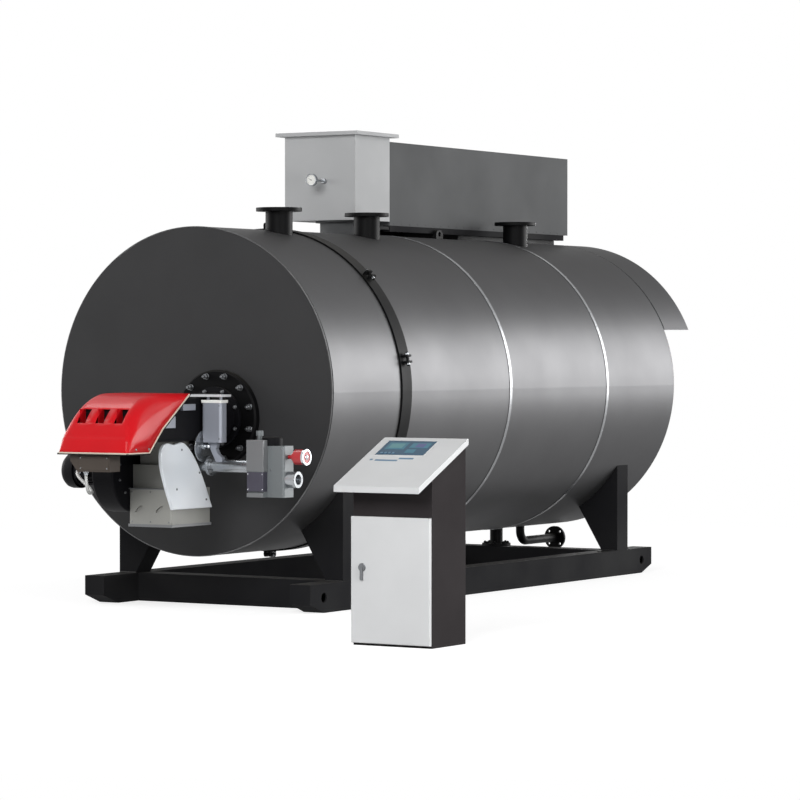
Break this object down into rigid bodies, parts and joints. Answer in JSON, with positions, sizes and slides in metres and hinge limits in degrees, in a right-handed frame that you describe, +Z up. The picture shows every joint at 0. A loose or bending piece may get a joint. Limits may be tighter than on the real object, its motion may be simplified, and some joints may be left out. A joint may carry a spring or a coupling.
{
  "type": "industrial fire-tube boiler",
  "caption": "Horizontal fire-tube boiler on skids with burner, gas train, flue gas economiser and a free-standing control cabinet with a hinged door.",
  "frame": {"origin": "centre of the underside of the front cross beam, on the floor", "axes": "+Y along the drum from the burner end to the rear smokebox, +X to the right as seen from the burner end, +Z up"},
  "size_m": [3.6478, 6.58, 3],
  "materials": {
    "actuator_grey": "satin",
    "black_enamel": "satin",
    "cabinet_dark": "fine texture",
    "cabinet_light": "satin",
    "casing_black": "matt",
    "cast_grey": "matt",
    "cladding": "satin",
    "cover_white": "satin",
    "duct_grey": "satin",
    "flue_light": "satin",
    "hood_red": "gloss",
    "lock_chrome": "polished",
    "plate_grey": "satin",
    "screen": "gloss",
    "seam_bright": "brushed",
    "skid_black": "satin",
    "switch_red": "gloss",
    "zinc": "satin"
  },
  "bodies": {
    "root": {"actuator": "actuator_grey", "actuator_bracket": "zinc", "air_intake_box": "cast_grey", "air_intake_cover": "cover_white", "blowdown_pipe": "black_enamel", "burner_casing": "casing_black", "burner_door": "black_enamel", "burner_head": "casing_black", "burner_hood": "hood_red", "cabinet_body": "cabinet_dark", "cabinet_desk": "cabinet_light", "cabinet_screen": "screen", "cam_disc": "zinc", "cross_beam_front": "skid_black", "cross_beam_rear": "skid_black", "drain_nozzle": "black_enamel", "economiser_casing": "duct_grey", "economiser_neck": "black_enamel", "economiser_rails": "skid_black", "fan_housing": "casing_black", "fan_motor": "casing_black", "flue_box": "flue_light", "flue_box_support": "duct_grey", "flue_outlet_flange": "flue_light", "flue_thermometer": "zinc", "front_plate": "plate_grey", "gas_inlet_port": "zinc", "gas_pipe": "zinc", "gas_pressure_switch": "switch_red", "gas_valve": "actuator_grey", "gas_valve_cap": "casing_black", "joint_band": "black_enamel", "leg_front_left": "skid_black", "leg_front_right": "skid_black", "leg_rear_left": "skid_black", "leg_rear_right": "skid_black", "lifting_eye": "black_enamel", "motor_conduit": "zinc", "nozzle_front": "black_enamel", "nozzle_middle": "black_enamel", "nozzle_rear": "black_enamel", "rear_plate": "plate_grey", "rear_smokebox": "cladding", "rear_smokebox_cover": "plate_grey", "seam_strips": "seam_bright", "shell_front": "cladding", "shell_middle": "cladding", "shell_rear": "cladding", "shell_smokebox": "cladding", "skid_left": "skid_black", "skid_right": "skid_black", "terminal_box": "cast_grey"},
    "cabinet_door": {"cabinet_door": "cabinet_light", "door_lock": "lock_chrome"}
  },
  "joints": [
    {"name": "cabinet_door_hinge", "type": "hinge", "parent": "root", "child": "cabinet_door", "pos_m": [2.59, -2.006, 0.014], "axis": [0, 0, 1], "range_deg": [0, 110]}
  ]
}
